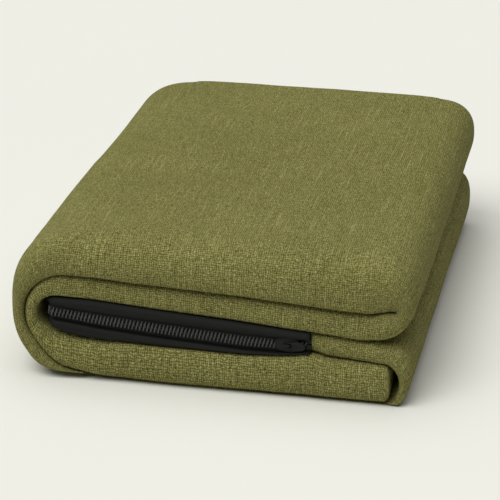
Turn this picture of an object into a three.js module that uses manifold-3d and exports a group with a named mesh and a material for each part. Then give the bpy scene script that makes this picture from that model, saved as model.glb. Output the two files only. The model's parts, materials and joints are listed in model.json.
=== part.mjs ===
// Infrared sauna blanket, closed and folded for storage.
//
// The blanket is a flat bag of two panels, A and B. Each panel has a cover, wadding, reflective foil, a carrier
// cloth with its heating wire, and a wipe-clean lining. The bag is folded in half, with that fold at the right,
// and the double layer is folded again round the left side, so that one fold nests inside the other.
// From its foot end the blanket runs: foot layer, inner left fold, second layer, upper right fold, top layer,
// outer left fold, bottom layer, lower right fold, zipped layer, zipped end.
// The foot end is tucked into the lower right fold, and the zipped end into the inner left fold.
//
// Millimetres, +Z up. The origin is the centre of the underside. The side edge with the zip slider faces -Y.
// In this file x runs from 0 at the left folds to WIDTH at the right folds, and toCentre moves it to the origin.

import * as THREE from "three";
import { mergeVertices } from "three/addons/utils/BufferGeometryUtils.js";
import Module from "manifold-3d";

const wasm = await Module();
wasm.setup();

// ---- driving dimensions -------------------------------------------------------------------------------------

const WIDTH = 400; // left folds to right folds
const DEPTH = 500; // along the folds: the blanket's own width
const HEIGHT = 150; // five layers of blanket
const REST_GAP = 0.4; // between two layers that lie on each other

// Layers, each as [at the left folds, at the right folds]. The top layer takes what is left of HEIGHT.
const BOTTOM_THICK = [23, 13];
const FOOT_TOP = 45.6; // level of the foot layer's upper face
const ZIPPED_THICK = [41.5, 23.5];
const SECOND_THICK = [22.7, 26.3];

const OUTER_FOLD_THICK = 14; // blanket pressed at the tip of each fold
const INNER_FOLD_THICK = 12;
const UPPER_FOLD_THICK = 19;
const LOWER_FOLD_THICK = 12;
const FOOT_END_ROOM = 7; // between the foot end and the fold round it
const ZIP_END_ROOM = 11; // between the zipped end and the fold round it
const FOOT_END_REACH = 18; // length over which the foot end rounds off
const ZIP_END_REACH = 16;
const END_BLUNT = 6; // how far short of its rounded tip an end is cut square
const FOLD_STEPS = 10; // facets in each fold
const END_STEPS = 3; // facets in each rounded end

const COVER = 0.8; // woven outer cover
const FOIL = 0.3;
const CARRIER = 0.5; // cloth that the heating wire is sewn to
const WIRE = 0.8; // carbon heating wire in its sleeve
const LINING = 0.6;
const PLY_GAP = 0.3; // between plies, and between small parts that touch
const CORE_INSET = 16; // inner plies stop this far inside the side edges, clear of the zip and leads
const BAND = 3; // edge band between the covers

const WIRE_WIDTH = 3;
const WIRE_RUNS = 4; // runs of the serpentine along the blanket
const WIRE_PITCH = 110;

const ZIP_RUN_END = 300; // x where the zip stops on the side edge
const ZIP_RECESS = 10; // chain's middle plane, inside the side edge
const CHAIN_SHARE_LEFT = 0.64; // chain's height in its layer, as a share of the layer, at the zipped end
const CHAIN_SHARE_RIGHT = 0.45; // and where the zip stops
const TAPE = 1;
const COIL_WIDTH = 4.7; // one side of the closed chain
const COIL_THICK = 3;
const PARTING = 1.2; // between the two sides of the chain
const STOP_LENGTH = 4;
const FACING_INSET = 0.6; // facing strip, inside the side edge
const FACING_CLEAR = 0.6; // between the slider and a facing strip

const SLIDER_LENGTH = 24;
const SLIDER_WIDTH = 16;
const SLIDER_PLATE = 1.4;
const SLIDER_CLEAR = 0.4; // between the slider and the chain
const SLIDER_POST = 0.6; // web between the plates, in the parting of the chain
const SLIDER_TRAVEL_STOP = 12; // left between the zipped end and the slider when the zip is open
const BAIL_WIRE = 1.4;
const BAIL_SPAN = 7;
const BAIL_WIDTH = 3;
const PULL_LENGTH = 20; // from the hinge to the tip
const PULL_WIDTH = 9;
const PULL_THICK = 1.2;
const PULL_CLEAR = 0.35;
const PULL_TO_STOP = 3; // between the pull's tip and the end of the zip

const INLET_X = 330; // power inlet, on the far side edge of the foot layer
const INLET_WIDTH = 28;
const INLET_HEIGHT = 20;
const INLET_DEPTH = 12;
const INLET_WALL = 3;
const INLET_MOUTH = 8; // depth of the socket
const PIN_RADIUS = 1.2;
const PIN_PITCH = 7;
const PIN_LENGTH = 6; // stands out of the contact carrier
const LEAD_THICK = 2;
const LEAD_LENGTH = 90;
const CUTOUT = { length: 26, width: 12, thick: 4 }; // thermal cut-out
const SENSOR = { length: 12, width: 6, thick: 3 };
const DEVICE_X = 230;
const DEVICE_Y = 60; // cut-outs this far to one side of the middle, sensors to the other
const POCKET_CLEAR = 0.4;

// ---- colours and finishes -----------------------------------------------------------------------------------

const finish = (color, roughness, metalness = 0) =>
  new THREE.MeshStandardMaterial({ color, roughness, metalness });
const coverCloth = finish(0x7d7949, 0.95);
const waddingWhite = finish(0xe8e6de, 1);
const foilSilver = finish(0xc9ccd0, 0.3, 1);
const carrierCloth = finish(0x9a958a, 0.95);
const wireRed = finish(0x8c2f24, 0.6);
const liningBlack = finish(0x1c1c1d, 0.5);
const facingBlack = finish(0x20211c, 0.85);
const coilGrey = finish(0x3c3c3c, 0.45);
const sliderGrey = finish(0x2c2c2b, 0.5, 0.6);
const plasticBlack = finish(0x202020, 0.6);
const brass = finish(0xb08d4a, 0.35, 1);

// ---- levels and places that follow --------------------------------------------------------------------------

const lerp = (a, b, t) => a + (b - a) * t;
const SIDE = DEPTH / 2;
const CORE_SIDE = SIDE - CORE_INSET;
const ZIPPED_LOW = FOOT_TOP + REST_GAP;
const zippedTop = ZIPPED_THICK.map((thick) => ZIPPED_LOW + thick);
const secondLow = zippedTop.map((z) => z + REST_GAP);
const secondTop = secondLow.map((z, end) => z + SECOND_THICK[end]);
const topLow = secondTop.map((z) => z + REST_GAP);
const footLow = BOTTOM_THICK.map((z) => z + REST_GAP);

const RUN_MARGIN = 5; // straight layer before the folds begin
const LEFT_X = HEIGHT / 2 + RUN_MARGIN;
const rightFoldHeight = Math.max(HEIGHT - secondLow[1], zippedTop[1]);
const RIGHT_X = WIDTH - rightFoldHeight / 2 - RUN_MARGIN;
const INNER_FOLD_X = OUTER_FOLD_THICK + REST_GAP + INNER_FOLD_THICK;
const ZIP_END_X = INNER_FOLD_X + ZIP_END_ROOM;
const FOOT_END_X = WIDTH - LOWER_FOLD_THICK - FOOT_END_ROOM;

// A level that slopes from the left folds to the right ones.
function level([left, right], x) {
  const t = (x - LEFT_X) / (RIGHT_X - LEFT_X);
  return lerp(left, right, Math.min(Math.max(t, 0), 1));
}

// ---- helpers ------------------------------------------------------------------------------------------------

const blanket = new THREE.Group();
const toCentre = (x) => x - WIDTH / 2;

function add(name, geometry, material) {
  const mesh = new THREE.Mesh(geometry, material);
  mesh.name = name;
  blanket.add(mesh);
}

// An outline in x and z, drawn out along Y from yLow to yHigh.
function slab(outline, yLow, yHigh) {
  const shape = new THREE.Shape(outline.map(([x, z]) => new THREE.Vector2(toCentre(x), z)));
  return new THREE.ExtrudeGeometry(shape, { depth: yHigh - yLow, bevelEnabled: false })
    .rotateX(Math.PI / 2)
    .translate(0, yHigh, 0);
}

// A box from its lowest and highest corners.
function block([x0, y0, z0], [x1, y1, z1]) {
  return new THREE.BoxGeometry(x1 - x0, y1 - y0, z1 - z0).translate(
    toCentre((x0 + x1) / 2),
    (y0 + y1) / 2,
    (z0 + z1) / 2,
  );
}

function toSolid(geometry) {
  const bare = new THREE.BufferGeometry();
  bare.setAttribute("position", geometry.getAttribute("position"));
  bare.setIndex(geometry.index);
  const merged = mergeVertices(bare, 1e-4);
  return new wasm.Manifold(
    new wasm.Mesh({
      numProp: 3,
      vertProperties: merged.attributes.position.array,
      triVerts: new Uint32Array(merged.index.array),
    }),
  );
}

function toGeometry(solid) {
  const mesh = solid.getMesh();
  const geometry = new THREE.BufferGeometry();
  geometry.setAttribute("position", new THREE.BufferAttribute(mesh.vertProperties, 3));
  geometry.setIndex(new THREE.BufferAttribute(mesh.triVerts, 1));
  return geometry;
}

const join = (pieces) => toGeometry(pieces.map(toSolid).reduce((all, one) => all.add(one)));
const cut = (piece, tools) =>
  toGeometry(tools.map(toSolid).reduce((left, tool) => left.subtract(tool), toSolid(piece)));

// ---- the folded section -------------------------------------------------------------------------------------
//
// The section is a list of ribs. Each rib joins face A to face B across the blanket's thickness. Face A is the
// one on the outside of the folded package.

const rib = (x, zA, zB) => ({ a: [x, zA], b: [x, zB] });
const footRib = (x) => rib(x, FOOT_TOP, level(footLow, x));
const secondRib = (x) => rib(x, level(secondLow, x), level(secondTop, x));
const topRib = (x) => rib(x, HEIGHT, level(topLow, x));
const bottomRib = (x) => rib(x, 0, level(BOTTOM_THICK, x));

// Where a layer ends, it rounds off about its middle and is then cut square.
function roundedEnd(ribAt, endX, side, reach, inset = 0) {
  return Array.from({ length: END_STEPS + 1 }, (_, i) => {
    const fromTip = lerp(reach, END_BLUNT + inset, i / END_STEPS);
    const { a, b } = ribAt(endX + side * (END_BLUNT - fromTip));
    const share = Math.sqrt(1 - ((reach - fromTip) / reach) ** 2);
    const middle = (a[1] + b[1]) / 2;
    return rib(a[0], lerp(middle, a[1], share), lerp(middle, b[1], share));
  });
}

const flatZippedRib = (x) => rib(x, level(zippedTop, x), ZIPPED_LOW);
const footEnd = (inset) => roundedEnd(footRib, FOOT_END_X, 1, FOOT_END_REACH, inset).reverse();
const zippedEnd = (inset) => roundedEnd(flatZippedRib, ZIP_END_X, -1, ZIP_END_REACH, inset);

// One face of a fold: a half circle whose tip is at x, on the left (-1) or right (1), between two levels.
function bend(tip, side, low, high) {
  const radius = (high - low) / 2;
  return (angle) => [
    tip - side * radius * (1 - Math.cos(angle)),
    low + radius * (1 + Math.sin(angle)),
  ];
}

// Ribs from the bottom of a fold to its top, or from top to bottom where down is true.
function fold(faceA, faceB, down = false) {
  const ribs = Array.from({ length: FOLD_STEPS + 1 }, (_, i) => {
    const angle = lerp(-Math.PI / 2, Math.PI / 2, i / FOLD_STEPS);
    return { a: faceA(angle), b: faceB(angle) };
  });
  return down ? ribs.reverse() : ribs;
}

const innerFold = fold(
  bend(INNER_FOLD_X, -1, FOOT_TOP, secondLow[0]),
  bend(OUTER_FOLD_THICK + REST_GAP, -1, footLow[0], secondTop[0]),
);
const upperFold = fold(
  bend(WIDTH, 1, secondLow[1], HEIGHT),
  bend(WIDTH - UPPER_FOLD_THICK, 1, secondTop[1], topLow[1]),
);
const outerFold = fold(
  bend(0, -1, 0, HEIGHT),
  bend(OUTER_FOLD_THICK, -1, BOTTOM_THICK[0], topLow[0]),
  true,
);
const lowerFold = fold(
  bend(WIDTH, 1, 0, zippedTop[1]),
  bend(WIDTH - LOWER_FOLD_THICK, 1, BOTTOM_THICK[1], ZIPPED_LOW),
);

// Everything between the foot end and the zipped layer.
const foldedRibs = [
  footRib(RIGHT_X),
  footRib(LEFT_X),
  ...innerFold,
  secondRib(LEFT_X),
  secondRib(RIGHT_X),
  ...upperFold,
  topRib(RIGHT_X),
  topRib(LEFT_X),
  ...outerFold,
  bottomRib(LEFT_X),
  bottomRib(RIGHT_X),
  ...lowerFold,
  flatZippedRib(RIGHT_X),
];
const zippedRun = [flatZippedRib(ZIP_RUN_END), flatZippedRib(LEFT_X)];
const wholeRibs = [...footEnd(0), ...foldedRibs, ...zippedRun, ...zippedEnd(0)];
const coreRibs = [
  ...footEnd(BAND + PLY_GAP),
  ...foldedRibs,
  ...zippedRun,
  flatZippedRib(ZIP_END_X + CORE_INSET),
];

// ---- plies --------------------------------------------------------------------------------------------------

const ribLength = ({ a, b }) => Math.hypot(b[0] - a[0], b[1] - a[1]);

// The point on a rib at a distance from face A, or from face B where the panel is B.
function onRib({ a, b }, panel, distance) {
  const share = distance / ribLength({ a, b });
  const t = panel === "a" ? share : 1 - share;
  return [lerp(a[0], b[0], t), lerp(a[1], b[1], t)];
}

// The outline of a ply of one panel: start and thick are distances from that panel's face.
function plyOutline(panel, ribs, start, thick) {
  const near = ribs.map((r) => onRib(r, panel, start(r)));
  const far = ribs.map((r) => onRib(r, panel, start(r) + thick(r)));
  return [...near, ...far.reverse()];
}

// Starts, from the cover inwards. Wadding takes up whatever the other plies leave of half the blanket.
const fixedPlies = COVER + FOIL + CARRIER + WIRE + LINING + 5.5 * PLY_GAP;
const waddingThick = (r) => ribLength(r) / 2 - fixedPlies;
const waddingStart = () => COVER + PLY_GAP;
const foilStart = (r) => waddingStart() + waddingThick(r) + PLY_GAP;
const carrierStart = (r) => foilStart(r) + FOIL + PLY_GAP;
const wireStart = (r) => carrierStart(r) + CARRIER + PLY_GAP;
const liningStart = (r) => wireStart(r) + WIRE + PLY_GAP;

const coreSlab = (outline) => slab(outline, -CORE_SIDE, CORE_SIDE);
const corePly = (panel, start, thick) =>
  coreSlab(plyOutline(panel, coreRibs, start, () => thick));

// A flat device between the wadding and the foil of the foot layer. A pocket is the same with room round it,
// and it runs out through the wadding's inner face.
function device(panel, { length, width, thick }, y, room = 0) {
  const half = length / 2 + room;
  const ribs = [footRib(DEVICE_X + half), footRib(DEVICE_X - half)];
  const start = (r) => foilStart(r) - PLY_GAP - thick - room;
  const outline = plyOutline(panel, ribs, start, () => thick + 2 * room);
  return slab(outline, y - width / 2 - room, y + width / 2 + room);
}

// The heating wire: runs along the blanket, joined by turns at alternate ends.
function heatingWire(panel) {
  const wirePly = (ribs) => plyOutline(panel, ribs, wireStart, () => WIRE);
  const runY = (i) => (i - (WIRE_RUNS - 1) / 2) * WIRE_PITCH;
  const half = WIRE_WIDTH / 2;
  const footTurn = wirePly([footRib(RIGHT_X - WIRE_WIDTH), footRib(RIGHT_X)].reverse());
  const zipTurn = wirePly([flatZippedRib(LEFT_X + WIRE_WIDTH), flatZippedRib(LEFT_X)]);
  const long = wirePly([...foldedRibs, ...zippedRun]);
  const pieces = [];
  for (let i = 0; i < WIRE_RUNS; i++) {
    pieces.push(slab(long, runY(i) - half, runY(i) + half));
    const turn = i % 2 === 0 ? zipTurn : footTurn;
    if (i + 1 < WIRE_RUNS) pieces.push(slab(turn, runY(i) - half, runY(i + 1) + half));
  }
  return join(pieces);
}

for (const panel of ["a", "b"]) {
  const cover = plyOutline(panel, wholeRibs, () => 0, () => COVER);
  add(`cover_${panel}`, slab(cover, -SIDE, SIDE), coverCloth);
  const wadding = coreSlab(plyOutline(panel, coreRibs, waddingStart, waddingThick));
  const pockets = [
    device(panel, CUTOUT, DEVICE_Y, POCKET_CLEAR),
    device(panel, SENSOR, -DEVICE_Y, POCKET_CLEAR),
  ];
  add(`wadding_${panel}`, cut(wadding, pockets), waddingWhite);
  add(`foil_${panel}`, corePly(panel, foilStart, FOIL), foilSilver);
  add(`wire_carrier_${panel}`, corePly(panel, carrierStart, CARRIER), carrierCloth);
  add(`heating_wire_${panel}`, heatingWire(panel), wireRed);
  add(`lining_${panel}`, corePly(panel, liningStart, LINING), liningBlack);
  add(`thermal_cutout_${panel}`, device(panel, CUTOUT, DEVICE_Y), plasticBlack);
  add(`temperature_sensor_${panel}`, device(panel, SENSOR, -DEVICE_Y), plasticBlack);
}

// ---- edge bands ---------------------------------------------------------------------------------------------

const insideCovers = COVER + PLY_GAP;
const bandThick = (r) => ribLength(r) - 2 * insideCovers;
const bandRibs = [...footEnd(0), ...foldedRibs, flatZippedRib(ZIP_RUN_END + PLY_GAP)];
const bandOutline = plyOutline("a", bandRibs, () => insideCovers, bandThick);
const footBandRibs = [footEnd(0)[0], footEnd(BAND)[0]];
const footBand = plyOutline("a", footBandRibs, () => insideCovers, bandThick);
const inletZ = (FOOT_TOP + level(footLow, INLET_X)) / 2;

// The inlet's outline, grown or shrunk all round.
function inletBlock(grow, yLow, yHigh) {
  const halfWidth = INLET_WIDTH / 2 + grow;
  const halfHeight = INLET_HEIGHT / 2 + grow;
  return block(
    [INLET_X - halfWidth, yLow, inletZ - halfHeight],
    [INLET_X + halfWidth, yHigh, inletZ + halfHeight],
  );
}

const bandHole = inletBlock(PLY_GAP, SIDE - BAND - 1, SIDE + 1);
add("edge_band_front", slab(bandOutline, -SIDE, -SIDE + BAND), coverCloth);
add("edge_band_back", cut(slab(bandOutline, SIDE - BAND, SIDE), [bandHole]), coverCloth);
const footBandSide = SIDE - BAND - PLY_GAP;
add("edge_band_foot", slab(footBand, -footBandSide, footBandSide), coverCloth);

// ---- power inlet --------------------------------------------------------------------------------------------

const carrierFace = SIDE - INLET_MOUTH;
const inletBack = SIDE - INLET_DEPTH;
const housingHole = inletBlock(-INLET_WALL, inletBack - 1, SIDE + 1);
add("inlet_housing", cut(inletBlock(0, inletBack, SIDE), [housingHole]), plasticBlack);

const pinX = [-1, 0, 1].map((step) => INLET_X + step * PIN_PITCH);
const pinRod = (x, radius, yLow, yHigh) =>
  new THREE.CylinderGeometry(radius, radius, yHigh - yLow, 12).translate(
    toCentre(x),
    (yLow + yHigh) / 2,
    inletZ,
  );
const carrierHoles = pinX.map((x) => pinRod(x, PIN_RADIUS + PLY_GAP, inletBack - 1, SIDE));
const contactCarrier = inletBlock(-INLET_WALL - PLY_GAP, inletBack, carrierFace);
add("inlet_contact_carrier", cut(contactCarrier, carrierHoles), plasticBlack);
pinX.forEach((x, i) => {
  add(`inlet_pin_${i + 1}`, pinRod(x, PIN_RADIUS, inletBack, carrierFace + PIN_LENGTH), brass);
});

// Supply leads lie along the side of the core, one at each carrier cloth, and start at the inlet.
const leadSide = [CORE_SIDE + PLY_GAP, inletBack - PLY_GAP];
for (const panel of ["a", "b"]) {
  const ribs = [footRib(INLET_X), footRib(INLET_X - LEAD_LENGTH)];
  const outward = (r) => carrierStart(r) + CARRIER - LEAD_THICK;
  const outline = plyOutline(panel, ribs, outward, () => LEAD_THICK);
  add(`supply_lead_${panel}`, slab(outline, ...leadSide), plasticBlack);
}

// ---- zip ----------------------------------------------------------------------------------------------------

const ZIP_Y = SIDE - ZIP_RECESS;
const CHAIN_HALF = COIL_WIDTH + PARTING / 2;
const chainEndZ = lerp(ZIPPED_LOW, zippedTop[0], CHAIN_SHARE_LEFT);
const chainStopZ = lerp(ZIPPED_LOW, level(zippedTop, ZIP_RUN_END), CHAIN_SHARE_RIGHT);
const CHAIN_SLOPE = (chainEndZ - chainStopZ) / (ZIP_RUN_END - ZIP_END_X);
const chainZ = (x) => chainStopZ + CHAIN_SLOPE * (ZIP_RUN_END - x);
const SLIDER_X = ZIP_RUN_END - PULL_TO_STOP - PULL_LENGTH;

// Upper parts lie towards cover A and lower ones towards cover B.
const halves = [
  { place: "upper", panel: "a", up: 1 },
  { place: "lower", panel: "b", up: -1 },
];
const mirrorY = (y) => [-y, y];
const zippedSection = [...zippedRun, ...zippedEnd(0)];
const facingStart = ZIP_END_X + SLIDER_TRAVEL_STOP / 2;

// The inside of a cover along the zip, from the stop to the zipped end or to a given x.
const underCover = (panel, endX = ZIP_END_X) =>
  zippedSection
    .filter(({ a }) => a[0] >= endX)
    .map((r) => onRib(r, panel, insideCovers));

// Between the chain, at a distance from its middle line, and the inside of the cover.
function zipStrip({ panel, up }, fromChain, endX) {
  const cover = underCover(panel, endX);
  const lastX = cover[cover.length - 1][0];
  return [
    ...cover,
    [lastX, chainZ(lastX) + up * fromChain],
    [ZIP_RUN_END, chainZ(ZIP_RUN_END) + up * fromChain],
  ];
}

function coilOutline(up, startX, endX) {
  const near = (up * PARTING) / 2;
  const far = up * CHAIN_HALF;
  return [
    [startX, chainZ(startX) + near],
    [endX, chainZ(endX) + near],
    [endX, chainZ(endX) + far],
    [startX, chainZ(startX) + far],
  ];
}

const coilEnd = ZIP_RUN_END - STOP_LENGTH - PLY_GAP;
for (const half of halves) {
  const tape = zipStrip(half, CHAIN_HALF + PLY_GAP, ZIP_END_X);
  const tapeRuns = mirrorY(ZIP_Y).map((y) => slab(tape, y - TAPE / 2, y + TAPE / 2));
  const endRib = zippedSection[zippedSection.length - 1];
  const endZ = [
    onRib(endRib, half.panel, insideCovers)[1],
    chainZ(ZIP_END_X) + half.up * (CHAIN_HALF + PLY_GAP),
  ].sort((low, high) => low - high);
  const tapeEnd = block([ZIP_END_X, -ZIP_Y, endZ[0]], [ZIP_END_X + TAPE, ZIP_Y, endZ[1]]);
  add(`zip_tape_${half.place}`, join([...tapeRuns, tapeEnd]), facingBlack);

  const coil = coilOutline(half.up, ZIP_END_X, coilEnd);
  const coilCorner = coilOutline(half.up, ZIP_END_X, ZIP_END_X + COIL_THICK);
  const coilRuns = mirrorY(ZIP_Y).map((y) => slab(coil, y - COIL_THICK / 2, y + COIL_THICK / 2));
  add(`zip_coil_${half.place}`, join([...coilRuns, slab(coilCorner, -ZIP_Y, ZIP_Y)]), coilGrey);

  const facing = zipStrip(half, SLIDER_WIDTH / 2 + FACING_CLEAR, facingStart);
  const facingIn = ZIP_Y + TAPE / 2 + PLY_GAP;
  const facingOut = SIDE - FACING_INSET;
  add(`zip_facing_front_${half.place}`, slab(facing, -facingOut, -facingIn), facingBlack);
  add(`zip_facing_back_${half.place}`, slab(facing, facingIn, facingOut), facingBlack);
}

// Metal stops: two at the slider's end of the chain, one across the far end.
const stopStart = coilEnd + PLY_GAP;
const stopSlab = (outline, y) => slab(outline, y - COIL_THICK / 2, y + COIL_THICK / 2);
for (const { place, up } of halves) {
  const outline = coilOutline(up, stopStart, ZIP_RUN_END);
  add(`zip_end_stop_${place}`, stopSlab(outline, -ZIP_Y), sliderGrey);
}
const crossStop = [
  [stopStart, chainZ(stopStart) - CHAIN_HALF],
  [ZIP_RUN_END, chainZ(ZIP_RUN_END) - CHAIN_HALF],
  [ZIP_RUN_END, chainZ(ZIP_RUN_END) + CHAIN_HALF],
  [stopStart, chainZ(stopStart) + CHAIN_HALF],
];
add("zip_start_stop", stopSlab(crossStop, ZIP_Y), sliderGrey);

// ---- slider and pull, drawn about the slider's middle and then turned to the chain's slope -------------------

const plateY = COIL_THICK / 2 + SLIDER_CLEAR; // inner face of each plate, from the chain's middle plane
const faceY = plateY + SLIDER_PLATE;
const hingeY = faceY + PULL_CLEAR + PULL_THICK / 2;
const bridgeY = hingeY + PULL_THICK / 2 + PULL_CLEAR;
const boxAt = (w, d, h, x, y, z) => new THREE.BoxGeometry(w, d, h).translate(x, y, z);
const onChain = (geometry) =>
  geometry
    .rotateY(Math.atan(CHAIN_SLOPE))
    .translate(toCentre(SLIDER_X), -ZIP_Y, chainZ(SLIDER_X));

// A plate with rounded corners in x and z, from the origin plane towards -Y.
function roundedPlate(x0, x1, width, corner, thick) {
  const half = width / 2;
  const shape = new THREE.Shape();
  shape.moveTo(x0 + corner, -half);
  shape.lineTo(x1 - corner, -half);
  shape.absarc(x1 - corner, -half + corner, corner, -Math.PI / 2, 0);
  shape.absarc(x1 - corner, half - corner, corner, 0, Math.PI / 2);
  shape.lineTo(x0 + corner, half);
  shape.absarc(x0 + corner, half - corner, corner, Math.PI / 2, Math.PI);
  shape.absarc(x0 + corner, -half + corner, corner, Math.PI, 1.5 * Math.PI);
  const settings = { depth: thick, bevelEnabled: false, curveSegments: 4 };
  return new THREE.ExtrudeGeometry(shape, settings).rotateX(Math.PI / 2);
}

const SLIDER_CORNER = 5;
const PLATE_SINK = 0.1; // how far joined parts of one casting run into each other
const sliderHalf = SLIDER_LENGTH / 2;
const sliderPlate = (y) =>
  roundedPlate(-sliderHalf, sliderHalf, SLIDER_WIDTH, SLIDER_CORNER, SLIDER_PLATE).translate(0, y, 0);
const post = boxAt(SLIDER_LENGTH / 3, 2 * plateY + PLATE_SINK, SLIDER_POST, sliderHalf / 2, 0, 0);
const lipWidth = SLIDER_WIDTH / 2 - CHAIN_HALF - SLIDER_CLEAR;
const lipDepth = plateY - TAPE / 2 - PLY_GAP;
const lips = [-1, 1].flatMap((y) =>
  [-1, 1].map((z) =>
    boxAt(
      SLIDER_LENGTH - 2 * SLIDER_CORNER,
      lipDepth + PLATE_SINK,
      lipWidth,
      0,
      y * (plateY + PLATE_SINK - (lipDepth + PLATE_SINK) / 2),
      (z * (SLIDER_WIDTH - lipWidth)) / 2,
    ),
  ),
);
const legDepth = bridgeY + BAIL_WIRE - faceY;
const legs = [-1, 1].map((side) =>
  boxAt(
    BAIL_WIRE,
    legDepth + PLATE_SINK,
    BAIL_WIDTH,
    (side * (BAIL_SPAN - BAIL_WIRE)) / 2,
    -(faceY - PLATE_SINK + (legDepth + PLATE_SINK) / 2),
    0,
  ),
);
const bridge = boxAt(BAIL_SPAN, BAIL_WIRE, BAIL_WIDTH, 0, -(bridgeY + BAIL_WIRE / 2), 0);
const sliderParts = [sliderPlate(-plateY), sliderPlate(faceY), post, ...lips, ...legs, bridge];
add("zip_slider", onChain(join(sliderParts)), sliderGrey);

// The pull has a slot: the bail's leg stands in it, and its end bar turns under the bail.
const barHalf = PULL_THICK / 2;
const slotEnd = BAIL_SPAN / 2 + BAIL_WIRE;
const pullPlate = roundedPlate(-barHalf, PULL_LENGTH, PULL_WIDTH, barHalf, PULL_THICK);
const slotLength = slotEnd - barHalf;
const slotWidth = BAIL_WIDTH + 4 * PULL_CLEAR;
const slot = boxAt(slotLength, 3 * PULL_THICK, slotWidth, barHalf + slotLength / 2, 0, 0);
const pull = cut(pullPlate.translate(0, PULL_THICK / 2, 0), [slot]);
add("zip_pull", onChain(pull.translate(0, -hingeY, 0)), sliderGrey);

export default blanket;
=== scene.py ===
import json
import math

import bmesh
import bpy
import numpy as np
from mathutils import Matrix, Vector, noise


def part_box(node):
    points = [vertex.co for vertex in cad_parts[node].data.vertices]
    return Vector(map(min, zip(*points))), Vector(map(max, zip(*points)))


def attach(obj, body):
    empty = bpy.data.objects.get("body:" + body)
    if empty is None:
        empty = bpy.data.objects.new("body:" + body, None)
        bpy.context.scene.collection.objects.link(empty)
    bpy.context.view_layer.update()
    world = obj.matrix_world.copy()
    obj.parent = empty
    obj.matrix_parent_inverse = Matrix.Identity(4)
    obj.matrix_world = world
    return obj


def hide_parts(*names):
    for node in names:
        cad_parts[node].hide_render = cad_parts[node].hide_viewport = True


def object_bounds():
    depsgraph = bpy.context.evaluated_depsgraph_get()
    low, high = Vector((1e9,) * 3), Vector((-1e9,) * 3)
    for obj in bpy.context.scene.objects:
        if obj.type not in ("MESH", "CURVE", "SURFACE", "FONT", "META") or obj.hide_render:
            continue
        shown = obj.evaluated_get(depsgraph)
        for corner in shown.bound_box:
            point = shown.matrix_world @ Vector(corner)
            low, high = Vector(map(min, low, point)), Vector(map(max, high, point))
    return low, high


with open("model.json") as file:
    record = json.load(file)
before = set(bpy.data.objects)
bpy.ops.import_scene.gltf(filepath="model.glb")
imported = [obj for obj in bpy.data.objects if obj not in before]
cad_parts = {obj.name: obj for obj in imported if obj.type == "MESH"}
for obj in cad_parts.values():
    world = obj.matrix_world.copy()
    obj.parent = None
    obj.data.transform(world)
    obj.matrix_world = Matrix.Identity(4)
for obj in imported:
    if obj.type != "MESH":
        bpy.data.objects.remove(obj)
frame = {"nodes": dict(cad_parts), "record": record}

cad_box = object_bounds()

# Shapes are worked out in millimetres, with x from 0 at the left folds to WIDTH at the right
# ones, and turned into the frame's metres when a mesh is made.
MM = 0.001
LOW, HIGH = (np.array(corner) / MM for corner in cad_box)
WIDTH = HIGH[0] - LOW[0]
SIDE = (HIGH[1] - LOW[1]) / 2
HEIGHT = HIGH[2] - LOW[2]


def to_metres(points):
    """Points in millimetres from the left folds, as the frame has them."""
    return (np.asarray(points, float) + (LOW[0], 0, 0)) * MM


def smoothstep(value, start, end):
    t = np.clip((np.asarray(value, float) - start) / (end - start), 0, 1)
    return t * t * (3 - 2 * t)


def signed_power(value, power):
    """A power that keeps the sign. Below 1 it fills out the corners of a circle."""
    return np.sign(value) * np.abs(value) ** power


# ---- camera -------------------------------------------------------------------------------------

AZIMUTH, ELEVATION = math.radians(11.85), math.radians(22.8)
TARGET = Vector((-0.0105, 0.0005, 0.0476))
DISTANCE = 2.424
LENS = 163.7
SENSOR_WIDTH = 36
CLIP_END = 50

camera = bpy.data.objects.new("camera", bpy.data.cameras.new("camera"))
bpy.context.scene.collection.objects.link(camera)
bpy.context.scene.camera = camera
backwards = Vector(
    (
        math.sin(AZIMUTH) * math.cos(ELEVATION),
        -math.cos(AZIMUTH) * math.cos(ELEVATION),
        math.sin(ELEVATION),
    )
)
camera.location = TARGET + DISTANCE * backwards
camera.rotation_euler = backwards.to_track_quat("Z", "Y").to_euler()
camera.data.lens = LENS
camera.data.sensor_width = SENSOR_WIDTH
camera.data.clip_end = CLIP_END

# ---- the folded section, as in the CAD ----------------------------------------------------------

# A pair holds the value at the left and at the right end of the straight layers.
REST_GAP = 0.4
BOTTOM_THICK = (23, 13)
FOOT_TOP = 45.6
ZIPPED_THICK = (41.5, 23.5)
SECOND_THICK = (22.7, 26.3)
OUTER_FOLD_THICK = 14
INNER_FOLD_THICK = 12
UPPER_FOLD_THICK = 19
LOWER_FOLD_THICK = 12
ZIP_END_ROOM = 11
ZIP_END_REACH = 16  # the zipped layer's end thins over this length
END_BLUNT = 6
RUN_MARGIN = 5
ZIP_RUN_END = 300
ZIP_RECESS = 10
CHAIN_SHARE_LEFT = 0.64  # the share of the zipped layer that lies below the chain
CHAIN_SHARE_RIGHT = 0.45
PULL_TO_STOP = 3
PULL_LENGTH = 20

ZIPPED_LOW = FOOT_TOP + REST_GAP
ZIPPED_TOP = [ZIPPED_LOW + thick for thick in ZIPPED_THICK]
SECOND_LOW = [z + REST_GAP for z in ZIPPED_TOP]
SECOND_TOP = [z + thick for z, thick in zip(SECOND_LOW, SECOND_THICK)]
TOP_LOW = [z + REST_GAP for z in SECOND_TOP]
FOOT_LOW = [z + REST_GAP for z in BOTTOM_THICK]
LEFT_X = HEIGHT / 2 + RUN_MARGIN
RIGHT_X = WIDTH - (HEIGHT - SECOND_LOW[1]) / 2 - RUN_MARGIN
INNER_FOLD_X = OUTER_FOLD_THICK + REST_GAP + INNER_FOLD_THICK
ZIP_END_X = INNER_FOLD_X + ZIP_END_ROOM


def level(ends, x):
    return np.interp(x, (LEFT_X, RIGHT_X), ends)


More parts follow.
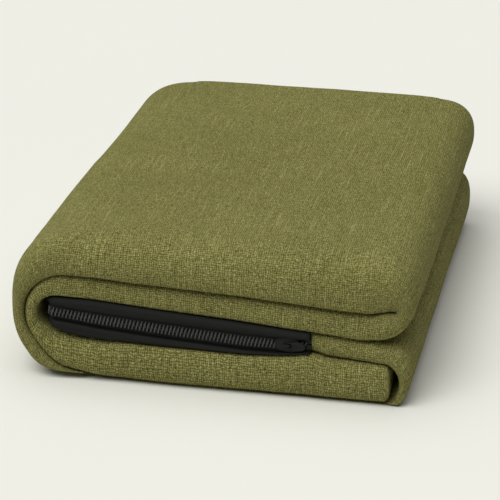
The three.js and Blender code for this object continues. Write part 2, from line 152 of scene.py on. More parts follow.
# A rib is (x on face A, z on face A, x on face B, z on face B).
def foot_rib(x):
    return (x, FOOT_TOP, x, level(FOOT_LOW, x))


def second_rib(x):
    return (x, level(SECOND_LOW, x), x, level(SECOND_TOP, x))


def top_rib(x):
    return (x, HEIGHT, x, level(TOP_LOW, x))


def bottom_rib(x):
    return (x, 0, x, level(BOTTOM_THICK, x))


def zipped_rib(x):
    return (x, level(ZIPPED_TOP, x), x, ZIPPED_LOW)


def thinned(rib, share):
    """The rib, shrunk to a share of its thickness."""
    ax, az, bx, bz = rib
    middle = (az + bz) / 2
    return (ax, middle + (az - middle) * share, bx, middle + (bz - middle) * share)


def end_share(x):
    """How much of its thickness the zipped layer has left near its rounded end."""
    from_tip = min(x - ZIP_END_X + END_BLUNT, ZIP_END_REACH)
    return math.sqrt(max(1 - ((ZIP_END_REACH - from_tip) / ZIP_END_REACH) ** 2, 0))


def bend(tip, side, low, high, roundness=1.0):
    """A fold's curve. A roundness below 1 fills out a half circle's corners."""
    radius = (high - low) / 2

    def at(angle):
        out = abs(math.cos(angle)) ** roundness
        up = math.copysign(abs(math.sin(angle)) ** roundness, angle)
        return (tip - side * radius * (1 - out), low + radius * (1 + up))

    return at


# The outside curves' roundness, as bend() takes it.
PLUMP = 0.85
LOWER_PLUMP = 0.80
OUTER_PLUMP = 0.82
LOWER_TUCK = 2.4  # the lower right fold lies this far behind the upper one
LOWER_INNER_TUCK = 2  # and its inner curve this much further in than the CAD's
FOLD_STEPS = 44
RUN_STEP = 7.0


def fold(face_a, face_b, down=False):
    """Ribs round a fold, from its lower layer up or from its upper layer down."""
    angles = np.linspace(-math.pi / 2, math.pi / 2, FOLD_STEPS + 1)
    ribs = [(*face_a(angle), *face_b(angle)) for angle in angles]
    return ribs[::-1] if down else ribs


def run(rib_at, start, end):
    """Ribs of a straight layer, from one end to the other."""
    count = max(int(abs(end - start) / RUN_STEP), 2)
    return [rib_at(x) for x in np.linspace(start, end, count + 1)]


# How a layer's side edge is rounded: the share of the thickness where the edge stands proudest,
# how far the rounding reaches in from the edge on face A and on face B, how far the edge lies
# behind the side, and how far the far edge's rounding reaches in on face A.
EDGE = {
    "foot": (0.50, 8, 14, 1.5, 8),
    "foot_left": (0.60, 24, 5, 1.0, 8),
    "inner_low": (0.60, 20, 8, 2.5, 8),
    "inner": (0.50, 7, 9, 4.5, 8),
    "second": (0.50, 5, 13, 6.5, 9),
    "upper": (0.55, 24, 9, 2.5, 16),
    "top": (0.68, 42, 8, 0.0, 11),
    "outer": (0.62, 24, 7, 1.0, 26),
    "outer_end": (0.50, 14, 2, 1.5, 10),
    "bottom": (0.50, 6, 4, 11.0, 8),
    "lower": (0.55, 20, 6, 2.5, 16),
    "zipped": (0.50, 14, 8, 10.0, 8),
    "behind_zip": (0.50, 4, 4, 14.5, 4),
}
ZIP_STEP = 0.6  # length over which the cover turns in where the zip begins

FOOT_TIP_X = 378.0
FOOT_ROUND = 9.0
FOOT_BLUNTNESS = 2.8
FOOT_STEPS = 14
FOOT_FIRST_ANGLE = 0.1  # the first rib lies just behind the tip


def foot_end_rib(from_tip):
    """A rib of the foot end, which is blunter than a half circle."""
    share = (1 - ((FOOT_ROUND - from_tip) / FOOT_ROUND) ** FOOT_BLUNTNESS) ** (1 / FOOT_BLUNTNESS)
    return thinned(foot_rib(FOOT_TIP_X - from_tip), share)


foot_angles = np.linspace(FOOT_FIRST_ANGLE, math.pi / 2, FOOT_STEPS)
foot_from_tip = FOOT_ROUND * (1 - np.cos(foot_angles))

LIP_END_X = 392.0  # the bottom layer hides behind the foot layer up to here
FLUSH_TO_X = 66.0  # and from here
ROLLED_TO_X, ROLLED_TO_Z = 96.0, 58.0  # the foot layer's edge rolls in beside the zipped end
HIDDEN_RIBS = 24
HIDDEN_END = 2  # the hidden ribs stop this far before the zipped end

# The strip, from the foot end to the zipped end: each rib with the name of its edge in EDGE.
strip = [("foot", foot_end_rib(d)) for d in foot_from_tip]
foot_run = run(foot_rib, FOOT_TIP_X - FOOT_ROUND, LEFT_X)[1:]
strip += [("foot_left" if r[0] < ROLLED_TO_X else "foot", r) for r in foot_run]
inner_fold = fold(
    bend(INNER_FOLD_X, -1, FOOT_TOP, SECOND_LOW[0]),
    bend(OUTER_FOLD_THICK + REST_GAP, -1, FOOT_LOW[0], SECOND_TOP[0]),
)
strip += [("inner_low" if r[1] < ROLLED_TO_Z else "inner", r) for r in inner_fold]
strip += [("second", r) for r in run(second_rib, LEFT_X, RIGHT_X)]
upper_fold = fold(
    bend(WIDTH, 1, SECOND_LOW[1], HEIGHT, PLUMP),
    bend(WIDTH - UPPER_FOLD_THICK, 1, SECOND_TOP[1], TOP_LOW[1]),
)
strip += [("upper", r) for r in upper_fold]
strip += [("top", r) for r in run(top_rib, RIGHT_X, LEFT_X)]
outer_fold = fold(
    bend(0, -1, 0, HEIGHT, OUTER_PLUMP),
    bend(OUTER_FOLD_THICK, -1, BOTTOM_THICK[0], TOP_LOW[0]),
    down=True,
)
strip += [("outer", r) for r in outer_fold]
bottom_run = run(bottom_rib, LEFT_X, RIGHT_X)
strip += [("outer_end" if r[0] < FLUSH_TO_X else "bottom", r) for r in bottom_run]
lower_fold = fold(
    bend(WIDTH - LOWER_TUCK, 1, 0, ZIPPED_TOP[1], LOWER_PLUMP),
    bend(WIDTH - LOWER_FOLD_THICK - LOWER_INNER_TUCK, 1, BOTTOM_THICK[1], ZIPPED_LOW),
)
for rib in lower_fold:
    hidden = rib[0] < LIP_END_X and rib[1] < FOOT_TOP / 2
    strip.append(("bottom" if hidden else "lower", rib))
strip += [("zipped", r) for r in run(zipped_rib, RIGHT_X, ZIP_RUN_END)]
hidden_xs = np.linspace(ZIP_RUN_END - ZIP_STEP, ZIP_END_X + HIDDEN_END, HIDDEN_RIBS)
strip += [("behind_zip", thinned(zipped_rib(x), end_share(x))) for x in hidden_xs]

RIBS = np.array([r for _, r in strip], float)
PLACES = [place for place, _ in strip]


def along(points):
    """Length along a row of points."""
    steps = np.linalg.norm(np.diff(points, axis=0), axis=1)
    return np.concatenate([[0], np.cumsum(steps)])


def blurred(values, positions, width):
    weights = np.exp(-(((positions[:, None] - positions[None, :]) / width) ** 2))
    spacing = np.gradient(positions) + 1e-3
    weights = weights * spacing[None, :]
    return (weights @ values) / weights.sum(axis=1, keepdims=True)


face_a_length = along(RIBS[:, :2])
mean_length = along((RIBS[:, :2] + RIBS[:, 2:]) / 2)
zip_first = PLACES.index("behind_zip")

# Every rib's edge values, smoothed along the strip so that one layer's edge runs into the next
# one's. The step where the zip begins stays sharp.
EDGE_BLUR = 22.0
EDGES = np.array([EDGE[place] for place in PLACES])
EDGES[:zip_first] = blurred(EDGES[:zip_first], mean_length[:zip_first], EDGE_BLUR)

LEAN_BLUR = 24.0
LEAN_START = 60  # the leaning grows over this length at both ends


def spread_ribs(ribs, last):
    """Lets the ribs up to the last one lean over gradually on both sides of a fold, by spreading
    their ends along face B."""
    face_a, face_b = along(ribs[:, :2]), along(ribs[:, 2:])
    lead = face_b - face_a
    lengths, end = mean_length[:last], mean_length[last]
    softened = blurred(lead[:last, None], lengths, LEAN_BLUR)[:, 0]
    hold = smoothstep(lengths, 0, LEAN_START) * (1 - smoothstep(lengths, end - LEAN_START, end))
    at = face_a.copy()
    at[:last] += lead[:last] + (softened - lead[:last]) * hold
    at[last:] += lead[last:]
    at = np.maximum.accumulate(at)
    out = ribs.copy()
    for axis in (2, 3):
        out[:, axis] = np.interp(at, face_b, ribs[:, axis])
    return out


RIBS = spread_ribs(RIBS, zip_first)

# ---- how the layers sag and swell at the side edges ---------------------------------------------

# At the side edges the meeting lines between the layers leave their even levels: each table
# gives places along x and the lift of one meeting line there.
BASE_LIFT = ((0, 22, 42, 60, 78, 100, 130), (0, 1.5, 4.5, 6.5, 5, 2, 0))
DROOP_Z = 2.0  # the bottom layer's upper face comes down to here, as far as DROOP_AT says
DROOP_AT = ((0, 16, 38, 60, 386, 396, 400), (0, 0, 0.5, 1, 1, 0, 0))
FOOT_LIFT = (
    (0, 8, 30, 60, 90, 150, 235, 262, 284, 296, 302, 314, 345, 400),
    (0, 0, 2, 0.5, -2.5, -3.8, -3.5, -1.5, 0.5, 3.0, 3.0, -2.5, -3.5, 0),
)
ZIPPED_LIFT = (
    (0, 30, 60, 225, 300, 345, 385, 400),
    (0, -1.0, -2.2, -2.6, -3.2, -5.0, -5.0, 0),
)
SECOND_LIFT = ((0, 120, 240, 330, 362, 378, 400), (0, -0.8, 0.6, -1.5, -1.0, 3.0, 0))
LIFT_BLUR = 4.0
BLUR_REACH = 12
LIFT_MARGIN = 40  # the tables are read this far past both folds
EDGE_ZONE = (SIDE - 36, SIDE - 10)  # where the lifts grow, from the middle to both sides
FAR_ZONE = (-120, 200)
FAR_LIFT = ((0, 335, 375, 400), (0, 0, 7, 7))  # the right folds meet higher at the far side
FAR_PARTS = (0, 0, 0, 1, 0.5, 0)  # each meeting line's part in it
FAR_NARROWING = 5.5  # the outer left fold lies this much further in at the far side
NARROWING_ZONE = (-60, 160)
NARROWING_REACH = 60


def lift_at(x, table):
    """The table's lift at x, with its corners smoothed."""
    grid = np.arange(-LIFT_MARGIN, WIDTH + LIFT_MARGIN)
    kernel = np.exp(-((np.arange(-BLUR_REACH, BLUR_REACH + 1) / LIFT_BLUR) ** 2))
    smooth = np.convolve(np.interp(grid, *table), kernel / kernel.sum(), "same")
    return np.interp(x, grid, smooth)


def settle(points):
    """Moves the layers' meeting lines near the side edges and on the right folds, and draws the
    left folds in at the far side. The top stays level."""
    x, y, z = points[:, 0], points[:, 1], points[:, 2]
    share = smoothstep(np.abs(y), *EDGE_ZONE)
    bottom = level(BOTTOM_THICK, x) + REST_GAP / 2
    levels = [
        np.zeros(len(x)),
        bottom,
        np.full(len(x), FOOT_TOP + REST_GAP / 2),
        level(ZIPPED_TOP, x) + REST_GAP / 2,
        level(SECOND_TOP, x) + REST_GAP / 2,
        np.full(len(x), HEIGHT),
    ]
    base = lift_at(x, BASE_LIFT)
    lifts = [
        base,
        (base + DROOP_Z - bottom) * lift_at(x, DROOP_AT),
        lift_at(x, FOOT_LIFT),
        lift_at(x, ZIPPED_LIFT),
        lift_at(x, SECOND_LIFT),
        np.zeros(len(x)),
    ]
    far = smoothstep(y, *FAR_ZONE) * lift_at(x, FAR_LIFT)
    lifts = [share * lift + far * part for lift, part in zip(lifts, FAR_PARTS)]
    moved = z.copy()
    for low, high, lift_low, lift_high in zip(levels, levels[1:], lifts, lifts[1:]):
        inside = (z >= low) & (z <= high)
        t = (z - low) / (high - low)
        moved = np.where(inside, z + lift_low * (1 - t) + lift_high * t, moved)
    out = points.copy()
    left_fold = np.clip(1 - x / NARROWING_REACH, 0, 1)
    out[:, 0] += FAR_NARROWING * smoothstep(y, *NARROWING_ZONE) * left_fold
    out[:, 2] = moved
    return out


# ---- meshes -------------------------------------------------------------------------------------


def new_object(name, points, faces, uv):
    """A smooth mesh object from points in millimetres. uv is one pair for each point."""
    mesh = bpy.data.meshes.new(name)
    vertices = [tuple(v) for v in to_metres(points)]
    mesh.from_pydata(vertices, [], faces)
    mesh.update()
    layer = mesh.uv_layers.new(name="cloth")
    loops = np.empty(len(mesh.loops), np.int64)
    mesh.loops.foreach_get("vertex_index", loops)
    layer.data.foreach_set("uv", np.asarray(uv, np.float32)[loops].ravel())
    mesh.polygons.foreach_set("use_smooth", [True] * len(mesh.polygons))
    obj = bpy.data.objects.new(name, mesh)
    bpy.context.scene.collection.objects.link(obj)
    return obj


def ring_faces(rows, columns):
    """Quads between closed rings of points, which are numbered ring by ring, and two end caps."""
    faces = []
    for row in range(rows - 1):
        here, above = row * columns, (row + 1) * columns
        for c in range(columns):
            after = (c + 1) % columns
            faces.append((here + c, here + after, above + after, above + c))
    faces.append(tuple(range(columns))[::-1])
    faces.append(tuple(range((rows - 1) * columns, rows * columns)))
    return faces


def turn_outwards(obj):
    """Turns a closed mesh's faces outwards."""
    work = bmesh.new()
    work.from_mesh(obj.data)
    bmesh.ops.recalc_face_normals(work, faces=work.faces)
    if work.calc_volume(signed=True) < 0:
        bmesh.ops.reverse_faces(work, faces=work.faces)
    work.to_mesh(obj.data)
    work.free()


def tube_mesh(name, rings):
    """A closed body from rings of points in millimetres, all with the same count."""
    rings = np.asarray(rings, float)
    rows, columns = rings.shape[:2]
    lengths = along(rings.mean(axis=1))
    around = along(np.vstack([rings[0], rings[0][:1]]))[:-1]
    uv = np.stack(np.meshgrid(lengths, around, indexing="ij"), axis=-1).reshape(-1, 2) * MM
    obj = new_object(name, rings.reshape(-1, 3), ring_faces(rows, columns), uv)
    turn_outwards(obj)
    return obj


def wire_mesh(name, centre, radius, sides):
    """A round wire along a row of points."""
    tangent = np.gradient(centre, axis=0)
    tangent /= np.linalg.norm(tangent, axis=1, keepdims=True)
    normal = np.cross(tangent[0], (0.31, 0.9, 0.22))  # any direction across the wire
    normal /= np.linalg.norm(normal)
    turn = np.linspace(0, 2 * math.pi, sides, endpoint=False)
    wire_rings = []
    for point, direction in zip(centre, tangent):
        normal = normal - direction * normal.dot(direction)
        normal /= np.linalg.norm(normal)
        side = np.cross(direction, normal)
        wire_rings.append(
            [point + radius * (math.cos(a) * normal + math.sin(a) * side) for a in turn]
        )
    return tube_mesh(name, wire_rings)


def cut_away(obj, cutter):
    """Cuts one object's shape out of another and removes the cutter."""
    modifier = obj.modifiers.new("cut", "BOOLEAN")
    modifier.operation = "DIFFERENCE"
    modifier.object = cutter
    modifier.solver = "EXACT"
    bpy.context.view_layer.update()
    evaluated = obj.evaluated_get(bpy.context.evaluated_depsgraph_get())
    done = bpy.data.meshes.new_from_object(evaluated)
    obj.modifiers.clear()
    obj.data = done
    bpy.data.objects.remove(cutter)


# ---- cover skin ---------------------------------------------------------------------------------

FACE_COLUMNS = 46
UNDER_COLUMNS = 14
EDGE_COLUMNS = 10
ROUNDNESS = 0.86
FAR_APEX = 0.5


def edge_profile(thick, apex, reach_a, reach_b, setback):
    """(depth from face A, distance behind the side) of an edge, from face A to face B."""
    angles = np.linspace(0, math.pi / 2, EDGE_COLUMNS + 1)
    cosine = np.clip(np.cos(angles), 0, 1) ** ROUNDNESS
    sine = np.clip(np.sin(angles), 0, 1) ** ROUNDNESS
    upper = np.stack([apex * thick * (1 - cosine), setback + reach_a * (1 - sine)], axis=1)
    lower_depth = thick - (1 - apex) * thick * (1 - cosine)
    lower = np.stack([lower_depth, setback + reach_b * (1 - sine)], axis=1)
    return np.vstack([upper, lower[::-1][1:]])


def skin_ring(rib, edge):
    """One ring of the skin, from face A round the front edge, face B and the far edge, and the
    length round it at each point, which is 0 at face A's middle."""
    a, b = np.array((rib[0], rib[1])), np.array((rib[2], rib[3]))
    thick = np.linalg.norm(b - a)
    apex, reach_a, reach_b, setback, far_reach = edge
    depth, inset = edge_profile(thick, apex, reach_a, reach_b, setback).T
    far_depth, far_inset = edge_profile(thick, FAR_APEX, far_reach, reach_b, setback).T
    over = np.linspace(SIDE - far_inset[0], inset[0] - SIDE, FACE_COLUMNS)[1:-1]
    under = np.linspace(inset[-1] - SIDE, SIDE - far_inset[-1], UNDER_COLUMNS)[1:-1]
    on_face_a, on_face_b = np.zeros(len(over)), np.full(len(under), thick)
    depths = np.concatenate([on_face_a, depth, on_face_b, far_depth[::-1]])
    ys = np.concatenate([over, inset - SIDE, under, SIDE - far_inset[::-1]])
    points = a + (b - a) * (depths / max(thick, 1e-6))[:, None]
    ring = np.stack([points[:, 0], ys, points[:, 1]], axis=1)
    arc = np.concatenate([[0], np.cumsum(np.hypot(np.diff(depths), np.diff(ys)))])
    return ring, arc - over[0]


rings, arcs = zip(*(skin_ring(r, e) for r, e in zip(RIBS, EDGES)))
rings, arcs = np.array(rings), np.array(arcs)
rows, columns = rings.shape[:2]
skin_points = settle(rings.reshape(-1, 3))
cloth_uv = np.stack([np.repeat(face_a_length, columns), arcs.ravel()], axis=1) * MM
cover = new_object("cover_skin", skin_points, ring_faces(rows, columns), cloth_uv)

# The last column's faces close the rings, so their map runs on past the last arc.
closing_arc = arcs[:, -1] + np.linalg.norm(rings[:, 0] - rings[:, -1], axis=1)
cloth_map = cover.data.uv_layers["cloth"].data
for row in range(rows - 1):
    first_loop = 4 * (row * columns + columns - 1)
    cloth_map[first_loop + 1].uv = (face_a_length[row] * MM, closing_arc[row] * MM)
    cloth_map[first_loop + 2].uv = (face_a_length[row + 1] * MM, closing_arc[row + 1] * MM)
turn_outwards(cover)

BROAD_SIZE, BROAD_DEPTH = 95.0, 1.1
SMALL_SIZE, SMALL_DEPTH = 31.0, 0.35
SMALL_OFFSET = Vector((7, 3, 1))
CROWN = 2.6
CROWN_REACH = 170  # half of the crown's width
CROWN_FROM_Z = 120
LEAST_Z = 0.2


def soften(points, outward):
    """Slow unevenness of stuffed cloth, along the surface's own direction."""
    out = points.copy()
    for i, (point, direction) in enumerate(zip(points, outward)):
        broad = noise.noise(Vector(point) / BROAD_SIZE)
        small = noise.noise(Vector(point) / SMALL_SIZE + SMALL_OFFSET)
        out[i] += direction * (BROAD_DEPTH * broad + SMALL_DEPTH * small)
    return out


normals = np.empty(len(cover.data.vertices) * 3)
cover.data.vertices.foreach_get("normal", normals)
skin_points = soften(skin_points, normals.reshape(-1, 3))
crown = np.clip(1 - ((skin_points[:, 0] - WIDTH / 2) / CROWN_REACH) ** 2, 0, 1)
crown *= smoothstep(skin_points[:, 2], CROWN_FROM_Z, HEIGHT)
skin_points[:, 2] += CROWN * crown
skin_points[:, 2] = np.maximum(skin_points[:, 2], LEAST_Z)
cover.data.vertices.foreach_set("co", to_metres(skin_points).ravel())
cover.data.update()

# The power inlet's seat in the far edge, in metres.
SEAT_ROOM = 0.0004
SEAT_DEPTH = 0.02  # the cutter stands out past the far edge
inlet_low, inlet_high = (np.array(corner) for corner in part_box("inlet_housing"))
seat_size = inlet_high - inlet_low + 2 * SEAT_ROOM
seat_size[1] += SEAT_DEPTH
seat_middle = (inlet_low + inlet_high) / 2
seat_middle[1] = inlet_low[1] - SEAT_ROOM + seat_size[1] / 2
bpy.ops.mesh.primitive_cube_add(size=1, location=seat_middle)
seat_cutter = bpy.context.object
seat_cutter.scale = seat_size
cut_away(cover, seat_cutter)

# ---- zip ----------------------------------------------------------------------------------------

CHAIN_SAG = 3.0  # the chain runs this much lower than the CAD's
STOP_LENGTH = 4
STOP_ROOM = 0.3
chain_end_z = ZIPPED_LOW + (ZIPPED_TOP[0] - ZIPPED_LOW) * CHAIN_SHARE_LEFT
chain_stop_z = ZIPPED_LOW + (level(ZIPPED_TOP, ZIP_RUN_END) - ZIPPED_LOW) * CHAIN_SHARE_RIGHT
CHAIN_SLOPE = (chain_end_z - chain_stop_z) / (ZIP_RUN_END - ZIP_END_X)
ZIP_Y = SIDE - ZIP_RECESS
COIL_END = ZIP_RUN_END - STOP_LENGTH - STOP_ROOM
CORNER_STEPS = 7


def chain_z(x):
    return chain_stop_z + CHAIN_SLOPE * (ZIP_RUN_END - x) - CHAIN_SAG


def zip_path(start_x, behind, corner, step):
    """Plan of the zip's line: in along the front edge, across the zipped end and back out. Each
    row is x, y and the outward direction in x and y."""
    left = ZIP_END_X + behind
    y = ZIP_Y
    angles = np.linspace(0, math.pi / 2, CORNER_STEPS)
    path = [(x, -y, 0, -1) for x in np.arange(start_x, left + corner, -step)]
    for angle in angles:
        out = (-math.sin(angle), -math.cos(angle))
        path.append((left + corner + corner * out[0], -y + corner + corner * out[1], *out))
    path += [(left, v, -1, 0) for v in np.arange(-y + corner + step, y - corner, step)]
    for angle in angles:
        out = (-math.cos(angle), math.sin(angle))
        path.append((left + corner + corner * out[0], y - corner + corner * out[1], *out))
    path += [(x, y, 0, 1) for x in np.arange(left + corner + step, start_x + step / 2, step)]
    return np.array(path)


def swept(name, ring_at, up, path):
    """A closed body from one ring at every point of the zip's line."""
    body = np.array([ring_at(*point, up) for point in path])
    return tube_mesh(name, settle(body.reshape(-1, 3)).reshape(body.shape))


# Padded facing strips above and below the chain.
FACING_FRONT = 5.0  # how far a facing stands out from the chain's plane
FACING_BACK = -1.5
FACING_LIP = 8.9  # from the chain's middle line to a facing's folded edge
FACING_ROUND = 2.3
LEAST_FACING = 1.6
FACING_ROOM = 0.5  # between a facing and the layer above or below
FACING_RISE, FACING_SWEEP = 19.0, 28.0  # the lower facing sweeps up towards the zipped end
BROW_PROUD, BROW_DEPTH, BROW_ROLL = 0.8, 5, 7  # how the outer edge rolls back
FACING_TURN = np.linspace(0, math.pi / 2, 6)


def facing_ring(x, y, out_x, out_y, up):
    """A facing's section: a folded lip beside the chain, and an outer edge that rolls back."""
    if up > 0:
        middle = (ZIPPED_LOW + level(ZIPPED_TOP, x)) / 2
        outer = middle + (level(ZIPPED_TOP, x) - middle) * end_share(x) - FACING_ROOM
    else:
        from_end = min(max(x - ZIP_END_X, 0), FACING_SWEEP)
        rise = 1 - math.sqrt(1 - ((FACING_SWEEP - from_end) / FACING_SWEEP) ** 2)
        outer = ZIPPED_LOW + FACING_ROOM + FACING_RISE * rise
    inner = chain_z(x) + up * FACING_LIP
    inner = inner if (outer - inner) * up > LEAST_FACING else outer - LEAST_FACING * up
    tall = abs(outer - inner)
    low = min(tall / 2, FACING_ROUND)
    roll = min(tall - low, BROW_ROLL)
    lip = [
        (FACING_FRONT - low + low * math.sin(a), inner + up * low * (1 - math.cos(a)))
        for a in FACING_TURN
    ]
    brow_front = FACING_FRONT + BROW_PROUD
    brow = [
        (brow_front - BROW_DEPTH * (1 - math.cos(a)), outer - up * roll * (1 - math.sin(a)))
        for a in FACING_TURN
    ]
    back = [(FACING_BACK, outer), (FACING_BACK, inner)]
    return [(x + out_x * d, y + out_y * d, z) for d, z in lip + brow + back]


facing_path = zip_path(ZIP_RUN_END - ZIP_STEP, behind=4.0, corner=7.0, step=4.0)
facings = [
    swept("zip_facing_upper", facing_ring, 1, facing_path),
    swept("zip_facing_lower", facing_ring, -1, facing_path),
]

# The coils: each side of the chain is one wire wound into loops, which meet in the middle. Its
# passes over the front stand nearly upright, and the passes behind make up the pitch.
COIL_PITCH = 3.7
COIL_WIRE = 0.84
COIL_REACH = 5.3
COIL_OVERLAP = 0.9
COIL_DEPTH = 1.0
COIL_SLANT = 0.40  # part of the pitch that a front pass takes
COIL_SQUARENESS = 1.15  # flattens the loops' upper and lower ends
LOOP_STEPS = 16
WIRE_SIDES = 7
coil_path = zip_path(COIL_END, behind=1.5, corner=2.0, step=0.5)


def coil_wire(name, up):
    lengths = along(coil_path[:, :2])
    turns = int(lengths[-1] / COIL_PITCH) - 1
    t = np.arange(turns * LOOP_STEPS + 1) / LOOP_STEPS
    front = np.clip((t % 1) * 2, 0, 1)
    behind = np.clip((t % 1) * 2 - 1, 0, 1)
    middle = (COIL_REACH - COIL_OVERLAP) / 2
    reach = (COIL_REACH + COIL_OVERLAP) / 2 - COIL_WIRE
    shift = COIL_SLANT * middle / reach * (1 - up) / 2
    at = (np.floor(t) + front * COIL_SLANT + behind * (1 - COIL_SLANT) + shift) * COIL_PITCH
    x, y, out_x, out_y = (np.interp(at, lengths, coil_path[:, i]) for i in range(4))
    phase = 2 * math.pi * t
    z = chain_z(x) + up * middle + np.clip(COIL_SQUARENESS * np.cos(phase), -1, 1) * reach
    depth = COIL_DEPTH * np.sin(phase)
    centre = np.stack([x + out_x * depth, y + out_y * depth, z], axis=1)
    return wire_mesh(name, settle(centre), COIL_WIRE, WIRE_SIDES)


coils = [coil_wire("zip_coil_upper_loops", 1), coil_wire("zip_coil_lower_loops", -1)]

# Each tape carries a coil: it lies behind the coil and under the facing, and its cord fills the
# loops.
TAPE_REACH = 12.5
TAPE_BACK, TAPE_FACE = -3.0, -1.95
TAPE_EDGE = 0.15  # from the chain's middle line
CORD_HALF = 0.22
CORD_LOW, CORD_HIGH = 1.9, COIL_REACH - 1.6


def tape_ring(x, y, out_x, out_y, up):
    """The tape's section: a flat web with a tongue that holds the cord."""
    z = chain_z(x)
    outline = [
        (TAPE_BACK, TAPE_EDGE),
        (TAPE_FACE, TAPE_EDGE),
        (TAPE_FACE, CORD_HIGH + 1.9),
        (-CORD_HALF, CORD_HIGH + 2.3),
        (-CORD_HALF, CORD_LOW),
        (CORD_HALF, CORD_LOW),
        (CORD_HALF, CORD_HIGH + 2.6),
        (TAPE_FACE + 0.6, TAPE_REACH),
        (TAPE_BACK, TAPE_REACH),
    ]
    return [(x + out_x * d, y + out_y * d, z + up * h) for d, h in outline]


tape_path = zip_path(ZIP_RUN_END - ZIP_STEP, behind=1.5, corner=2.0, step=4.0)
tapes = [
    swept("zip_tape_upper_web", tape_ring, 1, tape_path),
    swept("zip_tape_lower_web", tape_ring, -1, tape_path),
]

# ---- slider and pull ----------------------------------------------------------------------------

SLIDER_X = ZIP_RUN_END - PULL_TO_STOP - PULL_LENGTH
SLIDER_LENGTH = 24.0
SLIDER_WIDTH = 16.0
PLATE_INNER = 1.9  # inner face of a plate, from the chain's plane
PLATE_THICK = 1.4
PULL_THICK = 1.2
PULL_CLEAR = 0.35
OUTLINE_POINTS = 56
OUTLINE_TURN = np.linspace(0, 2 * math.pi, OUTLINE_POINTS, endpoint=False)
HINGE_Y = PLATE_INNER + PLATE_THICK + PULL_CLEAR + PULL_THICK / 2
BRIDGE_Y = HINGE_Y + PULL_THICK / 2 + PULL_CLEAR


def on_chain(points):
    """Turns points from the slider's own axes to the section's. The slider's run along the chain,
    out of the plate and across the chain."""
    points = np.asarray(points, float)
    angle = math.atan(CHAIN_SLOPE)
    c, s = math.cos(angle), math.sin(angle)
    x = points[..., 0] * c + points[..., 2] * s
    z = -points[..., 0] * s + points[..., 2] * c
    return np.stack([SLIDER_X + x, -ZIP_Y - points[..., 1], chain_z(SLIDER_X) + z], axis=-1)


PLATE_SQUARENESS = 0.62
TAIL_WIDTH = 0.90  # of the width at the shoulders


def plate_outline(inset):
    """A slider plate's outline, wide at its shoulders and drawn in at its tail."""
    half_length, half_width = SLIDER_LENGTH / 2 - inset, SLIDER_WIDTH / 2 - inset
    x = signed_power(np.cos(OUTLINE_TURN), PLATE_SQUARENESS) * half_length
    widening = smoothstep(x, -SLIDER_LENGTH / 2, SLIDER_LENGTH / 4)
    taper = TAIL_WIDTH + (1 - TAIL_WIDTH) * widening
    z = signed_power(np.sin(OUTLINE_TURN), PLATE_SQUARENESS) * half_width * taper
    return np.stack([x, z], axis=1)


def layered_plate(name, layers, outline):
    """A body from outlines stacked outwards: each layer is (distance from the chain's plane,
    inset)."""
    stack = []
    for depth, inset in layers:
        flat = outline(inset)
        points = np.stack([flat[:, 0], np.full(len(flat), depth), flat[:, 1]], axis=1)
        stack.append(on_chain(points))
    return tube_mesh(name, stack)


def join_objects(name, parts):
    for part in bpy.context.selected_objects:
        part.select_set(False)
    for part in parts:
        part.select_set(True)
    bpy.context.view_layer.objects.active = parts[0]
    bpy.ops.object.join()
    parts[0].name = name
    return parts[0]


FACE = PLATE_INNER + PLATE_THICK
front_layers = [
    (PLATE_INNER, 0.9),
    (PLATE_INNER + 0.2, 0.2),
    (PLATE_INNER + 0.8, 0.0),
    (FACE - 0.25, 0.35),
    (FACE, 1.2),
    (FACE + 0.05, 3.0),
]
rear_layers = [(-depth, inset) for depth, inset in front_layers]
front_plate = layered_plate("slider_front", front_layers, plate_outline)
rear_plate = layered_plate("slider_rear", rear_layers, plate_outline)

BAIL_HALF, BAIL_WIDTH, BAIL_THICK = 2.8, 1.3, 0.6
BAIL_SINK = 0.3  # its ends stand in the plate
BAIL_STEPS, STRAP_SIDES = 17, 12
BAIL_SHAPE = (0.55, 0.5)  # powers of its cosine and its sine
STRAP_SQUARENESS = 0.6


def bail():
    """The arch that holds the pull, a flat strap from plate to plate end."""
    foot_y = FACE - BAIL_SINK
    height = BRIDGE_Y + BAIL_THICK - foot_y
    angles = np.linspace(0, math.pi, BAIL_STEPS)
    x = -BAIL_HALF * signed_power(np.cos(angles), BAIL_SHAPE[0])
    y = foot_y + height * np.clip(np.sin(angles), 0, 1) ** BAIL_SHAPE[1]
    arch = np.stack([x, y], axis=1)
    tangent = np.gradient(arch, axis=0)
    tangent /= np.linalg.norm(tangent, axis=1, keepdims=True)
    across = np.stack([-tangent[:, 1], tangent[:, 0]], axis=1)
    turn = np.linspace(0, 2 * math.pi, STRAP_SIDES, endpoint=False)
    out = BAIL_THICK * signed_power(np.cos(turn), STRAP_SQUARENESS)
    z = BAIL_WIDTH * signed_power(np.sin(turn), STRAP_SQUARENESS)
    strap = [
        [(point[0] + normal[0] * o, point[1] + normal[1] * o, h) for o, h in zip(out, z)]
        for point, normal in zip(arch, across)
    ]
    return tube_mesh("slider_bail", on_chain(strap))


LIP_HALF = 7  # half of a side lip's length
LIP_STEPS = 9
LIP_INNER_Z, LIP_OUTER_Z = 5.75, 7.9
LIP_TAPER = 0.5
LIP_GAP = 0.9  # from the chain's plane
LIP_SINK = 0.3  # into the plate


def side_lip(y_sign, z_sign):
    """The rim that a plate turns in along the chain."""
    lip = []
    for x in np.linspace(-LIP_HALF, LIP_HALF, LIP_STEPS):
        outer_z = LIP_OUTER_Z - LIP_TAPER * (abs(x) / LIP_HALF) ** 2
        plate_y = PLATE_INNER + LIP_SINK
        corners = (
            (LIP_GAP, LIP_INNER_Z),
            (LIP_GAP, outer_z),
            (plate_y, outer_z),
            (plate_y, LIP_INNER_Z),
        )
        lip.append([(x, y_sign * y, z_sign * z) for y, z in corners])
    return tube_mesh("slider_lip", on_chain(lip))


